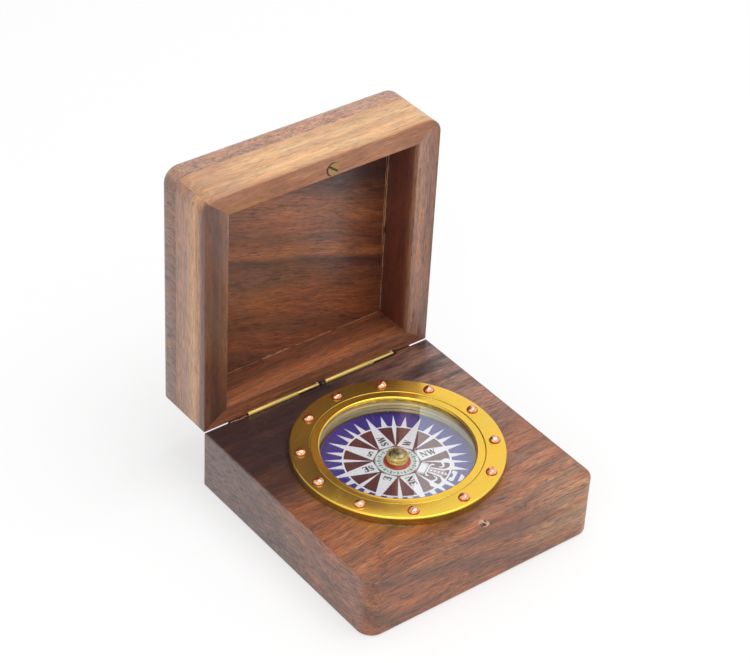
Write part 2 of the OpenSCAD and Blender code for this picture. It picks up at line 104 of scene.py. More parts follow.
class Finish:
    """A material and the nodes that make it."""

    def __init__(self, name, colour=(0.8, 0.8, 0.8, 1), rough=0.5, metal=0.0):
        self.material = bpy.data.materials.new(name)
        self.material.use_nodes = True
        self.tree = self.material.node_tree
        self.tree.nodes.clear()
        self.out = self.tree.nodes.new("ShaderNodeOutputMaterial")
        self.shader = self.tree.nodes.new("ShaderNodeBsdfPrincipled")
        self.tree.links.new(self.shader.outputs[0], self.out.inputs[0])
        self.set("Base Color", colour)
        self.set("Roughness", rough)
        self.set("Metallic", metal)

    def put(self, value, socket):
        if isinstance(value, bpy.types.NodeSocket):
            self.tree.links.new(value, socket)
        else:
            socket.default_value = value

    def set(self, name, value):
        self.put(value, self.shader.inputs[name])

    def mapped(self, vector, scale=(1, 1, 1), shift=(0, 0, 0), turn=(0, 0, 0)):
        mapping = self.tree.nodes.new("ShaderNodeMapping")
        mapping.inputs["Scale"].default_value = scale
        mapping.inputs["Location"].default_value = shift
        mapping.inputs["Rotation"].default_value = turn
        self.put(vector, mapping.inputs["Vector"])
        return mapping.outputs[0]

    def at(self, scale=(1000, 1000, 1000), shift=(0, 0, 0), turn=(0, 0, 0)):
        """The place on the piece, in millimetres unless the scale says otherwise."""
        coords = self.tree.nodes.new("ShaderNodeTexCoord")
        return self.mapped(coords.outputs["Object"], scale, shift, turn)

    def noise(self, vector, scale=1.0, detail=2.0, rough=0.5, warp=0.0, out="Fac"):
        node = self.tree.nodes.new("ShaderNodeTexNoise")
        self.put(vector, node.inputs["Vector"])
        node.inputs["Scale"].default_value = scale
        node.inputs["Detail"].default_value = detail
        node.inputs["Roughness"].default_value = rough
        node.inputs["Distortion"].default_value = warp
        return node.outputs[out]

    def sum(self, operation, a, b=0.0, c=0.0):
        node = self.tree.nodes.new("ShaderNodeMath")
        node.operation = operation
        for value, socket in zip((a, b, c), node.inputs):
            self.put(value, socket)
        return node.outputs[0]

    def moved(self, vector, step, amounts):
        """A place moved by a vector that is first scaled."""
        node = self.tree.nodes.new("ShaderNodeVectorMath")
        node.operation = "MULTIPLY_ADD"
        self.put(step, node.inputs[0])
        node.inputs[1].default_value = amounts
        self.put(vector, node.inputs[2])
        return node.outputs[0]

    def measure(self, operation, vector, other):
        node = self.tree.nodes.new("ShaderNodeVectorMath")
        node.operation = operation
        self.put(vector, node.inputs[0])
        node.inputs[1].default_value = other
        return node.outputs["Value"]

    def along(self, vector, direction):
        """How far the place lies along a direction."""
        return self.measure("DOT_PRODUCT", vector, direction)

    def away(self, vector, middle_at):
        """How far the place is from another."""
        return self.measure("DISTANCE", vector, middle_at)

    def range(self, value, low, high, to_low=0.0, to_high=1.0, smooth=True):
        node = self.tree.nodes.new("ShaderNodeMapRange")
        node.interpolation_type = "SMOOTHSTEP" if smooth else "LINEAR"
        for given, socket in zip((value, low, high, to_low, to_high), node.inputs):
            self.put(given, socket)
        return node.outputs[0]

    def ramp(self, value, stops):
        node = self.tree.nodes.new("ShaderNodeValToRGB")
        while len(node.color_ramp.elements) < len(stops):
            node.color_ramp.elements.new(0.5)
        for element, (place, colour) in zip(node.color_ramp.elements, stops):
            element.position = place
            element.color = colour
        self.put(value, node.inputs[0])
        return node.outputs[0]

    def mix(self, share, a, b, blend="MIX"):
        node = self.tree.nodes.new("ShaderNodeMix")
        node.data_type = "RGBA"
        node.blend_type = blend
        self.put(share, node.inputs[0])
        self.put(a, node.inputs[6])
        self.put(b, node.inputs[7])
        return node.outputs[2]

    def bump(self, height, depth):
        """Relief from a height of 0 to 1, its depth in millimetres."""
        node = self.tree.nodes.new("ShaderNodeBump")
        node.inputs["Strength"].default_value = 1.0
        node.inputs["Distance"].default_value = depth * MM
        self.put(height, node.inputs["Height"])
        self.put(node.outputs[0], self.shader.inputs["Normal"])


def grey(level):
    return (level, level, level, 1)


def wood(name, grain, across, bands, seed, drift=9.0, lines=0.6, tilt=0.0, contrast=1.0,
         end_at=0.0, patches=(), veils=()):
    """Varnished hardwood. grain is the axis that the fibres follow, turned about Y by a tilt in
    degrees, and across the direction over which the bands lie, each band a place in millimetres
    and a colour. Beyond end_at the grain's ends show as streaks. A patch is a middle and a reach
    in millimetres, a colour and a share. A veil is a direction, two places along it, a colour and
    a share."""
    finish = Finish(name, rough=0.36)
    place = finish.at()
    turned = finish.at(turn=(0, math.radians(tilt), 0))

    def stretch(long, short):
        return [long if axis == grain else short for axis in "XYZ"]

    def fibres(long, short, shift, detail, rough, warp=0.0):
        spot = finish.mapped(wandered, stretch(long, short), (shift, shift * 0.7, shift * 1.3))
        return finish.noise(spot, detail=detail, rough=rough, warp=warp)

    def tint(share, colour, stops):
        return finish.mix(contrast, colour, finish.ramp(share, stops), "MULTIPLY")

    spot = finish.mapped(turned, stretch(0.016, 0.024), (seed, seed * 0.7, seed * 1.3))
    wander = finish.noise(spot, detail=2, out="Color")
    wandered = finish.moved(turned, wander, stretch(0, drift))
    wandered = finish.mapped(wandered, shift=stretch(0, -drift / 2))
    wave = fibres(0.045, 0.22, seed + 3, 3, 0.6)
    level = finish.along(wandered, across)
    level = finish.sum("MULTIPLY_ADD", finish.sum("SUBTRACT", wave, 0.5), drift * 0.5, level)
    first, last = bands[0][0], bands[-1][0]
    share = finish.range(level, first, last, smooth=False)
    colour = finish.ramp(share, [((at - first) / (last - first), shown) for at, shown in bands])
    for middle_at, reach, shown, amount in patches:
        near = finish.range(finish.away(place, middle_at), reach, reach * 0.2, 0, amount)
        near = finish.sum("MULTIPLY", near, finish.range(wave, 0.34, 0.58))
        colour = finish.mix(near, colour, shown)
    for direction, start, stop, shown, amount in veils:
        near = finish.range(finish.along(place, direction), start, stop, 0, amount)
        colour = finish.mix(near, colour, shown)
    if end_at:
        beyond = finish.sum("ABSOLUTE", finish.along(place, (1, 0, 0)))
        past_end = finish.range(beyond, end_at, end_at + 0.5)
        wandered = finish.mix(past_end, wandered, finish.mapped(wandered, (1, 0.16, 0.75)))
    ring = fibres(0.012, 0.40, seed + 9, 3, 0.55, 0.25)
    ridge = finish.sum("ABSOLUTE", finish.sum("SUBTRACT", ring, 0.5))
    seam = finish.sum("MULTIPLY", finish.range(ridge, 0.030, 0.0), finish.range(wave, 0.38, 0.58))
    blotch = fibres(0.05, 0.38, seed + 14, 3, 0.6)
    streak = fibres(0.07, 0.75, seed + 21, 5, 0.66)
    dash = fibres(0.30, 1.7, seed + 5, 3, 0.62)
    pores = fibres(0.24, 2.4, seed + 1, 2, 0.55)
    crowd = fibres(0.10, 0.30, seed + 30, 2, 0.5)
    colour = tint(blotch, colour, [
        (0.34, (0.80, 0.82, 0.92, 1)), (0.5, grey(1.0)), (0.66, (1.22, 1.06, 0.90, 1)),
    ])
    colour = tint(streak, colour, [
        (0.30, grey(0.52)), (0.44, grey(0.88)), (0.56, grey(1.06)), (0.70, grey(1.34)),
    ])
    colour = finish.mix(finish.sum("MULTIPLY", seam, lines), colour, shade(64, 40, 42))
    colour = tint(dash, colour, [
        (0.32, grey(0.62)), (0.45, grey(0.94)), (0.55, grey(1.04)), (0.68, grey(1.30)),
    ])
    open_pores = finish.range(pores, 0.545, 0.635)
    open_pores = finish.sum("MULTIPLY", open_pores, finish.range(crowd, 0.36, 0.58, 0.25, 1.0))
    colour = finish.mix(finish.sum("MULTIPLY", open_pores, 0.62 * contrast), colour, shade(58, 30, 28))
    finish.set("Base Color", colour)
    finish.set("Specular IOR Level", 0.8)
    finish.set("Roughness", finish.range(dash, 0.3, 0.7, 0.44, 0.30))
    relief = finish.sum("SUBTRACT", finish.sum("MULTIPLY", dash, 0.6), open_pores)
    finish.bump(relief, 0.03)
    return finish.material


INK_BROWN = shade(50, 34, 36)
DARK = shade(74, 46, 40)
UMBER = shade(100, 62, 48)
COCOA = shade(130, 82, 58)
RUSSET = shade(158, 94, 60)
AMBER = shade(176, 108, 66)
TAN = shade(190, 132, 96)
ROSE = shade(186, 138, 116)
MAUVE = shade(152, 116, 104)
HONEY = shade(222, 168, 116)
CREAM = shade(238, 190, 138)
RED_BROWN = shade(112, 58, 44)
PALE_ROSE = shade(206, 158, 132)


def brass(name, colour, rough=0.16, tarnish=0.25, metal=0.88, relief=0.0, dark_reflection_below=0.0, patches=()):
    """Polished brass under cloudy lacquer, with a little tarnish. It has the turning marks of a
    lathe where relief is more than 0. It is painted browner below a height in millimetres and in
    patches, each a middle and a reach in millimetres and a share: painted reflections of dark wood."""
    finish = Finish(name, metal=metal)
    cloud = finish.noise(finish.at(), scale=0.13, detail=3, rough=0.55)
    spots = finish.noise(finish.at(), scale=0.9, detail=5, rough=0.7)
    dull = finish.range(spots, 0.60, 0.80, 0, tarnish)
    brown = tuple(channel * tone for channel, tone in zip(colour, (0.38, 0.40, 0.62))) + (1,)
    green = tuple(channel * tone for channel, tone in zip(colour, (0.84, 0.98, 1.0))) + (1,)
    tone = finish.mix(finish.range(cloud, 0.40, 0.62, 0, 0.6), colour, green)
    tone = finish.mix(dull, tone, brown)
    # Painted reflections of dark wood: browner below a height, and in patches
    if dark_reflection_below:
        height = finish.along(finish.at(), (0, 0, 1))
        tone = finish.mix(finish.range(height, dark_reflection_below, dark_reflection_below - 0.5, 0, 0.8), tone, brown)
    for middle_at, reach, amount in patches:
        away = finish.away(finish.at(), middle_at)
        tone = finish.mix(finish.range(away, reach, reach * 0.3, 0, amount), tone, brown)
    finish.set("Base Color", tone)
    finish.set("Roughness", finish.range(cloud, 0.3, 0.7, rough, rough + 0.12, smooth=False))
    finish.set("Coat Weight", 0.7)
    finish.set("Coat Roughness", 0.45)
    if relief:
        marks = finish.noise(finish.at(scale=(20, 20, 2600)), scale=1.0, detail=3)
        finish.bump(marks, relief)
    return finish.material


def copper(name):
    finish = Finish(name, metal=1.0)
    cloud = finish.noise(finish.at(), scale=0.9, detail=4, rough=0.6)
    tone = finish.ramp(cloud, [(0.35, shade(212, 128, 98)), (0.6, shade(252, 194, 160))])
    finish.set("Base Color", tone)
    finish.set("Roughness", finish.range(cloud, 0.3, 0.7, 0.22, 0.10))
    finish.bump(finish.noise(finish.at(), scale=1.3, detail=2), 0.12)
    return finish.material


def steel(name, colour, rough=0.3):
    finish = Finish(name, metal=1.0)
    grain = finish.noise(finish.at(scale=(300, 3000, 3000)), scale=1.0, detail=4)
    worn = finish.range(grain, 0.3, 0.7, 0, 0.5)
    finish.set("Base Color", finish.mix(worn, colour, shade(70, 66, 64)))
    finish.set("Roughness", finish.range(grain, 0.3, 0.7, rough, rough + 0.2))
    finish.bump(grain, 0.01)
    return finish.material


def ink(name, colour, mottle=0.12, rough=0.42):
    """Printing ink on a card, a little uneven."""
    finish = Finish(name)
    speckle = finish.noise(finish.at(), scale=5.0, detail=3, rough=0.7)
    darker = tuple(channel * (1 - 2 * mottle) for channel in colour[:3]) + (1,)
    finish.set("Base Color", finish.mix(finish.range(speckle, 0.35, 0.7), colour, darker))
    finish.set("Roughness", finish.range(speckle, 0.3, 0.7, rough, rough + 0.1))
    finish.bump(speckle, 0.004)
    return finish.material


def felt(name, colour):
    finish = Finish(name)
    fuzz = finish.noise(finish.at(), scale=8, detail=5, rough=0.8)
    darker = tuple(channel * 0.5 for channel in colour[:3]) + (1,)
    finish.set("Base Color", finish.mix(fuzz, colour, darker))
    finish.set("Roughness", finish.range(fuzz, 0, 1, 0.8, 1.0))
    finish.bump(fuzz, 0.05)
    return finish.material


def glass(name):
    """Clear glass that lets the lamps through to the card."""
    finish = Finish(name, colour=(1, 1, 1, 1), rough=0.0)
    finish.set("Transmission Weight", 1.0)
    finish.set("IOR", 1.95)
    smear = finish.noise(finish.at(), scale=0.12, detail=4, rough=0.6)
    finish.set("Roughness", finish.range(smear, 0.45, 0.75, 0.0, 0.02))
    clear = finish.tree.nodes.new("ShaderNodeBsdfTransparent")
    path = finish.tree.nodes.new("ShaderNodeLightPath")
    either = finish.tree.nodes.new("ShaderNodeMixShader")
    finish.put(path.outputs["Is Shadow Ray"], either.inputs[0])
    finish.put(finish.shader.outputs[0], either.inputs[1])
    finish.put(clear.outputs[0], either.inputs[2])
    finish.put(either.outputs[0], finish.out.inputs[0])
    return finish.material


# The ROSE patch at the back right is partly paler wood and partly a painted sheen; the MAUVE veil over
# the left face is a painted sheen
base_wood = wood("base_wood", "X", (-0.12, 0.82, -0.56), [
    (-57, RUSSET), (-53, COCOA), (-50, AMBER), (-47, COCOA), (-44, RUSSET), (-40, AMBER),
    (-37, COCOA), (-33, AMBER), (-27, RUSSET), (-20, COCOA), (-13, RUSSET), (-7, COCOA),
    (-2, UMBER), (2, DARK), (6, UMBER), (9, INK_BROWN), (13, DARK), (17, INK_BROWN),
    (20, UMBER), (23, INK_BROWN), (29, DARK),
], seed=2.0, drift=12.0, end_at=49.6, patches=(
    ((-34, 38, 24), 32, INK_BROWN, 0.9), ((-40, -18, 24), 17, AMBER, 0.5),
    ((42, 26, 24), 44, ROSE, 0.6), ((36, -40, 24), 30, ROSE, 0.35), ((40, -50, 8), 32, HONEY, 0.5),
), veils=(((-1, 0, 0), 49.5, 50.3, MAUVE, 0.5),))
# The DARK patch high on the right is partly darker wood and partly painted shade; the MAUVE veil over
# the left edge is a painted sheen
panel_wood = wood("panel_wood", "X", (0, 0, 1), [
    (8, RUSSET), (26, COCOA), (33, RUSSET), (39, COCOA), (45, RUSSET), (53, RUSSET), (59, COCOA),
    (63, COCOA), (66.4, UMBER), (67.6, COCOA), (69, AMBER), (71.5, AMBER), (73.5, RUSSET),
    (76.5, COCOA), (78, RUSSET), (82, RUSSET), (86, AMBER), (91, AMBER), (95, COCOA), (99, UMBER),
    (103, DARK), (107, UMBER), (113, COCOA), (120, TAN), (132, ROSE),
], seed=5.0, drift=7.0, tilt=-18.0, contrast=0.85, end_at=49.6, patches=(
    ((36, 66, 106), 36, DARK, 0.75), ((42, 66, 70), 28, RED_BROWN, 0.6), ((-20, 66, 112), 22, DARK, 0.5),
), veils=(((0, 0, 1), 116, 121, PALE_ROSE, 0.75), ((-1, 0, 0), 48.5, 50, MAUVE, 0.75)))
front_rail_wood = wood("front_rail_wood", "X", (0, 1, 0), [
    (44, AMBER), (49, AMBER), (50.3, HONEY), (54, CREAM), (58, HONEY), (61, CREAM), (65, HONEY),
    (70, HONEY),
], seed=9.0, drift=4.0, lines=0.3, contrast=0.5, veils=(((1, 0, 0), -18, -44, TAN, 0.6),))
back_rail_wood = wood("back_rail_wood", "X", (0, 1, 0.1), [
    (48, COCOA), (52, RUSSET), (56, AMBER), (60, RUSSET), (64, COCOA), (70, RUSSET),
], seed=13.0, drift=4.0, contrast=0.85)
left_rail_wood = wood("left_rail_wood", "Z", (0.25, 1, 0), [
    (35, DARK), (36.8, COCOA), (37.8, UMBER), (38.8, COCOA), (40.2, TAN), (44, HONEY),
    (48, ROSE), (52, TAN), (57, MAUVE),
], seed=17.0, drift=2.5, lines=0.4, contrast=0.6)
right_rail_wood = wood("right_rail_wood", "Z", (0.25, 1, 0), [
    (57, MAUVE), (60, ROSE), (62, COCOA), (64, RED_BROWN), (70, RED_BROWN), (78, UMBER),
], seed=21.0, drift=2.5, lines=0.4, contrast=0.7)
raw_wood = wood("raw_wood", "X", (0, 1, 0), [
    (-60, TAN), (-45, RUSSET), (-20, TAN), (60, ROSE),
], seed=25.0)
gold = shade(250, 199, 58)
# The flange's side and its left and back are painted browner, painted reflections of the dark wood and
# the open lid
flange_brass = brass("flange_brass", gold, rough=0.17, dark_reflection_below=wood_top / MM + 2.8, patches=(
    ((-38, 14, 27), 30, 0.8), ((-6, 44, 27), 40, 0.7),
))
bezel_brass = brass("bezel_brass", gold, rough=0.12, tarnish=0.12)
bowl_brass = brass("bowl_brass", shade(206, 192, 146), rough=0.26, tarnish=0.0, relief=0.02)
hinge_brass = brass("hinge_brass", shade(222, 184, 98), rough=0.42, metal=0.6)
screw_brass = brass("screw_brass", shade(168, 130, 68), rough=0.36, tarnish=0.7, metal=0.6)
nail_copper = copper("nail_copper")
pin_steel = steel("pin_steel", shade(66, 68, 76), rough=0.5)
magnet_steel = steel("magnet_steel", shade(96, 96, 100), rough=0.4)
clear_glass = glass("clear_glass")
gasket_felt = felt("gasket_felt", shade(150, 130, 92))
blue_ink = ink("blue_ink", shade(48, 38, 142))
maroon_ink = ink("maroon_ink", shade(96, 42, 44))
white_ink = ink("white_ink", shade(232, 234, 238), mottle=0.05)
black_ink = ink("black_ink", shade(34, 34, 40))
grey_ink = ink("grey_ink", shade(158, 144, 156))
rose_grey_ink = ink("rose_grey_ink", shade(178, 158, 162), mottle=0.25)
green_ink = ink("green_ink", shade(84, 178, 138))
red_washer = ink("red_washer", shade(196, 66, 44), rough=0.5)
ruby = ink("ruby", shade(120, 20, 40), rough=0.2)
dried_glue = ink("dried_glue", shade(208, 160, 122), rough=0.45)
old_lacquer = ink("old_lacquer", shade(176, 150, 116), mottle=0.3, rough=0.3)
# Dark brown for a painted shade ring at the foot of each nail head
foot_shade_ink = ink("foot_shade_ink", shade(104, 66, 34), mottle=0.3, rough=0.5)
shadow_wood = ink("shadow_wood", shade(92, 58, 38), mottle=0.3, rough=0.6)
# Dark brown for painted shade in the hinge gaps and groove
shade_ink = ink("shade_ink", shade(48, 32, 28), mottle=0.3, rough=0.8)


# Modelling


def only(piece):
    bpy.ops.object.select_all(action="DESELECT")
    piece.select_set(True)
    bpy.context.view_layer.objects.active = piece


def tidy_mesh(piece):
    """Merges what touches, drops loose bits and turns the faces outwards."""
    only(piece)
    bpy.ops.object.mode_set(mode="EDIT")
    bpy.ops.mesh.select_all(action="SELECT")
    bpy.ops.mesh.remove_doubles(threshold=2e-6)
    bpy.ops.mesh.dissolve_degenerate(threshold=1e-7)
    bpy.ops.mesh.select_all(action="SELECT")
    bpy.ops.mesh.delete_loose()
    bpy.ops.mesh.select_all(action="SELECT")
    bpy.ops.mesh.normals_make_consistent(inside=False)
    bpy.ops.object.mode_set(mode="OBJECT")


def smooth(angle):
    """Shades the piece in hand smooth, except at edges sharper than an angle in degrees."""
    bpy.ops.object.shade_smooth_by_angle(angle=math.radians(angle))


def soften(piece, width_mm, segments=2, angle=30):
    """Rounds a piece's sharp edges a little."""
    only(piece)
    bevel = piece.modifiers.new("Bevel", "BEVEL")
    bevel.width = width_mm * MM
    bevel.segments = segments
    bevel.limit_method = "ANGLE"
    bevel.angle_limit = math.radians(angle)
    bpy.ops.object.modifier_apply(modifier=bevel.name)
    smooth(angle)


def paint(piece, material):
    piece.data.materials.clear()
    piece.data.materials.append(material)


def move(piece, by):
    piece.data.transform(Matrix.Translation(by))


def finish_piece(piece, name, body, material, nodes=()):
    """Names a piece and says what it rides on, looks like and stands for."""
    piece.name = name
    piece.data.name = name
    paint(piece, material)
    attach(piece, body)
    if nodes:
        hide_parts(*nodes)


def spun(profile, steps=144, at=compass_at):
    """A lathe piece from a closed outline of (radius, height) in millimetres above a place."""
    bpy.ops.object.select_all(action="DESELECT")
    bpy.ops.mesh.primitive_circle_add(vertices=len(profile), radius=MM)
    piece = bpy.context.object
    for vertex, (radius, height) in zip(piece.data.vertices, profile):
        vertex.co = (radius * MM, 0, height * MM)
    bpy.ops.object.mode_set(mode="EDIT")
    bpy.ops.mesh.select_all(action="SELECT")
    bpy.ops.mesh.spin(steps=steps, angle=2 * math.pi, center=(0, 0, 0), axis=(0, 0, 1))
    bpy.ops.object.mode_set(mode="OBJECT")
    tidy_mesh(piece)
    move(piece, at)
    return piece


def arc(middle_at, radius, start, end, count):
    """Points on an arc, with its angles in degrees."""
    turns = [math.radians(start + (end - start) * i / (count - 1)) for i in range(count)]
    return [(middle_at[0] + radius * math.cos(a), middle_at[1] + radius * math.sin(a)) for a in turns]


def copy_of(node, edge):
    """A copy of a CAD node with its edges softened."""
    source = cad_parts[node]
    piece = bpy.data.objects.new(node + "_copy", source.data.copy())
    bpy.context.scene.collection.objects.link(piece)
    only(piece)
    bpy.ops.object.mode_set(mode="EDIT")
    bpy.ops.mesh.select_all(action="SELECT")
    bpy.ops.mesh.remove_doubles(threshold=1e-6)
    bpy.ops.mesh.dissolve_limited(angle_limit=math.radians(0.5))
    bpy.ops.object.mode_set(mode="OBJECT")
    soften(piece, edge)
    return piece


def join(parts):
    """Makes one piece of several."""
    bpy.ops.object.select_all(action="DESELECT")
    for part in parts:
        part.select_set(True)
    bpy.context.view_layer.objects.active = parts[0]
    bpy.ops.object.join()
    return bpy.context.object


def again(piece, change):
    """A copy of a piece, with its own mesh moved by a matrix."""
    twin = piece.copy()
    twin.data = piece.data.copy()
    twin.data.transform(change)
    bpy.context.scene.collection.objects.link(twin)
    return twin


print_t = 0.02


def printed(outline, low=0.0, thick=print_t):
    """A flat print from an outline in millimetres, north along +Y."""
    bpy.ops.object.select_all(action="DESELECT")
    bpy.ops.mesh.primitive_circle_add(vertices=len(outline), radius=MM, fill_type="NGON")
    piece = bpy.context.object
    for vertex, (x, y) in zip(piece.data.vertices, outline):
        vertex.co = (x * MM, y * MM, low * MM)
    bpy.ops.object.mode_set(mode="EDIT")
    bpy.ops.mesh.select_all(action="SELECT")
    bpy.ops.mesh.extrude_region_move(TRANSFORM_OT_translate={"value": (0, 0, thick * MM)})
    bpy.ops.mesh.select_all(action="SELECT")
    bpy.ops.mesh.normals_make_consistent(inside=False)
    bpy.ops.object.mode_set(mode="OBJECT")
    return piece


def oblong(left, right, front, back, low=0.0):
    return printed([(left, front), (right, front), (right, back), (left, back)], low)


def ribbon(path, widths):
    """The outline of a stroke along a path, with a width at each point."""
    left, right = [], []
    for i, (x, y) in enumerate(path):
        before, after = path[max(i - 1, 0)], path[min(i + 1, len(path) - 1)]
        dx, dy = after[0] - before[0], after[1] - before[1]
        length = math.hypot(dx, dy)
        nx, ny = -dy / length, dx / length
        half = widths[i] / 2
        left.append((x + nx * half, y + ny * half))
        right.append((x - nx * half, y - ny * half))
    return left + right[::-1]


def rough_strip(length, size, thick, steps, wander=0.3):
    """A thin strip of something smeared or splintered, along +X from 0."""
    path, widths = [], []
    for i in range(steps + 1):
        path.append((length * i / steps, random.uniform(-wander, wander) * size))
        end = min(i, steps - i)
        widths.append(size * random.uniform(0.35, 1.3) * (0.15 if end == 0 else 1.0))
    return printed(ribbon(path, widths), 0, thick)


def lay(piece, x_axis, y_axis, at):
    """Lays a print's X and Y along two directions, with its back at a place."""
    x_axis, y_axis = Vector(x_axis), Vector(y_axis)
    turn = Matrix((x_axis, y_axis, x_axis.cross(y_axis))).transposed().to_4x4()
    piece.data.transform(Matrix.Translation(at) @ turn)


def stand_up(piece, at):
    """Stands a print upright with its face to the front and its back at a place."""
    lay(piece, (1, 0, 0), (0, 0, 1), at)


# Wooden box

base = copy_of("base_block", 0.06)
finish_piece(base, "base_wood_block", "base", base_wood, ["base_block"])
for node, name, material, slot in (
    ("lid_panel", "lid_top_board", panel_wood, "panel_wood"),
    ("lid_front_rail", "lid_front_board", front_rail_wood, "front_rail_wood"),
    ("lid_back_rail", "lid_back_board", back_rail_wood, "back_rail_wood"),
    ("lid_left_rail", "lid_left_board", left_rail_wood, "side_rail_wood"),
    ("lid_right_rail", "lid_right_board", right_rail_wood, "side_rail_wood"),
):
    finish_piece(copy_of(node, 0.1), name, "lid", material, [node])

# Glue squeezed out inside the lid. Along the back rail, each line has a start, a length and a size.
# Up the right rail, each has a start, a length, an inset from the rail and a size.
random.seed(11)
glue = []
for start, length, size in ((-39, 24, 0.26), (-14, 13, 0.75), (1, 17, 0.45), (20, 20, 0.3)):
    strip = rough_strip(length, size, 0.05, 14)
    stand_up(strip, (start * MM, panel_face, inside_low + 0.12 * MM))
    glue.append(strip)
for low, length, inset, size in ((0, 36, 0.15, 0.3), (38, 44, 0.2, 0.45), (30, 50, 1.0, 0.2)):
    strip = rough_strip(length, size, 0.05, 22, 0.5)
    corner = (inside_right - inset * MM, panel_face, inside_low + low * MM)
    lay(strip, (0, 0, 1), (-1, 0, 0), corner)
    glue.append(strip)
finish_piece(join(glue), "lid_glue_lines", "lid", dried_glue)

# Lacquer run out beside the flange: the angle where each smear starts, how far it sweeps in
# degrees, its gap to the flange and its size
smears = []
for start, sweep, gap, size in (
    (193, 11, 0.35, 0.5), (203, 9, 0.3, 0.7), (221, 16, 0.4, 0.8), (236, 8, 0.3, 0.4),
):
    path, widths = [], []
    for i in range(13):
        angle = math.radians(start + sweep * i / 12)
        reach = flange_r + gap + random.uniform(-0.1, 0.12)
        path.append((reach * math.cos(angle), reach * math.sin(angle)))
        widths.append(size * random.uniform(0.3, 1.0) if 0 < i < 12 else 0.05)
    smear = printed(ribbon(path, widths), 0, 0.03)
    move(smear, compass_at)
    smears.append(smear)
finish_piece(join(smears), "flange_lacquer_smears", "base", old_lacquer)

# Splinters on the base's back edge beside the left hinge: where each starts, its inset from the
# edge, its length and its size
splinters = []
for start, inset, length, size in (
    (-39.6, 0.2, 4.2, 0.35), (-36.6, 0.4, 3.6, 0.4), (-34.6, 0.08, 2.8, 0.3),
    (-37.6, 0.55, 5.0, 0.22), (-33.4, 0.3, 2.0, 0.35),
):
    strip = rough_strip(length, size, 0.06, 9, 0.6)
    move(strip, (start * MM, back_face - inset * MM, wood_top))
    splinters.append(strip)
finish_piece(join(splinters), "hinge_splinters", "base", raw_wood)

# Painted shade behind the same edge, dark strips standing upright in the gap: where each strip
# starts and stops, its gap to the edge and its thickness
fringe = []
for start, stop, gap, thick in (
    (-39.8, -31.7, 0, 0.75), (-0.2, 3.0, 0.75, 0.25), (34.4, 36.1, 0.75, 0.25), (36, 42.5, 0, 0.75),
):
    path = [((stop - start) * i / 8, random.uniform(-0.03, 0.03)) for i in range(9)]
    strip = printed(ribbon(path, [0.66] * 9), 0, thick)
    stand_up(strip, (start * MM, back_face + (gap + thick) * MM, wood_top - 0.36 * MM))
    fringe.append(strip)
finish_piece(join(fringe), "hinge_edge_shade_strips", "base", shade_ink)

knuckle_len = 9.4  # of the short knuckle, on the base's leaf
collar_shade_r = 0.98
collar_shade_len = 0.8
for side in ("left", "right"):
    # A dark strip standing upright in the gap behind the knuckles, painted shade
    low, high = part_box(f"{side}_lid_leaf")
    path = [(i, 0) for i in range(int((high.x - low.x) / MM) + 1)]
    strip = printed(ribbon(path, [0.28] * len(path)), 0, 0.18)
    stand_up(strip, (low.x, lid_rim + 0.95 * MM, wood_top + 0.26 * MM))
    finish_piece(strip, f"{side}_hinge_gap_shade", "lid", shade_ink)

    # Painted shade: a dark collar round the bare end of the pin, a dark strip in the groove in front
    # of the knuckles and a dark film over the lower half of the short one
    pin = middle(f"{side}_hinge_pin")
    pin_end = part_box(f"{side}_hinge_pin")[1].x
    collar = spun([(0.3, 0), (collar_shade_r, 0), (collar_shade_r, collar_shade_len), (0.3, collar_shade_len)], steps=24, at=ORIGIN)
    collar.data.transform(Matrix.Rotation(math.pi / 2, 4, "Y"))
    move(collar, (pin_end - 1.0 * MM, pin.y, pin.z))
    groove = oblong(low.x / MM, high.x / MM, 0, 0.42)
    move(groove, (0, back_face - 1.35 * MM, wood_top))
    knuckle_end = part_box(f"{side}_base_leaf")[1].x / MM
    film = oblong(knuckle_end - knuckle_len, knuckle_end, -0.45, 0.24)
    stand_up(film, (0, pin.y - 0.77 * MM, pin.z))
    finish_piece(join([collar, groove, film]), f"{side}_groove_shade", "base", shade_ink)

# The magnet's hole is stopped with a broken plug, pitted on top
plug_r = 2.0
plug_t = 0.44
rings = [(plug_r * i / 9, 0) for i in range(1, 10)]
plug = spun(rings + [(plug_r, -plug_t), (plug_r / 9, -plug_t)], steps=40, at=ORIGIN)
random.seed(23)
pits = [
    (random.uniform(-1.5, 1.5), random.uniform(-0.9, 0.9), random.uniform(0.25, 0.55))
    for _ in range(7)
]
for vertex in plug.data.vertices:
    if vertex.co.z > -0.2 * MM:
        x, y = vertex.co.x / MM, vertex.co.y / MM
        depth = 0.05 + 0.05 * math.sin(5 * x + 1.7) * math.cos(7 * y)
        for pit_x, pit_y, pit_r in pits:
            depth += 0.30 * math.exp(-((x - pit_x) ** 2 + (y - pit_y) ** 2) / pit_r ** 2)
        vertex.co.z = -min(depth, plug_t - 0.02) * MM
move(plug, (magnet.x, magnet.y, wood_top))


def plug_finish():
    finish = Finish("plug_wood", rough=0.55)
    grain = finish.noise(finish.at(scale=(500, 3200, 3000)), scale=1.0, detail=4, rough=0.7)
    height = finish.along(finish.at(), (0, 0, 1))
    # Painted shade: the wood is darker deeper in the pits
    deep = finish.range(height, wood_top / MM - 0.13, wood_top / MM - 0.26)
    pale = finish.mix(finish.range(grain, 0.4, 0.62), shade(156, 104, 80), shade(224, 184, 158))
    finish.set("Base Color", finish.mix(deep, pale, shade(88, 42, 26)))
    finish.bump(grain, 0.05)
    return finish.material


finish_piece(plug, "magnet_plug", "base", plug_finish())


# Hinges

for side in ("left", "right"):
    for body in ("base", "lid"):
        node = f"{side}_{body}_leaf"
        finish_piece(copy_of(node, 0.08), f"{node}_brass", body, hinge_brass, [node])
    paint(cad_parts[f"{side}_hinge_pin"], pin_steel)

screw_inset = 6  # of a leaf's two screws, from its ends
slot_len = 4
slot_w = 0.4
slot_deep = 0.8


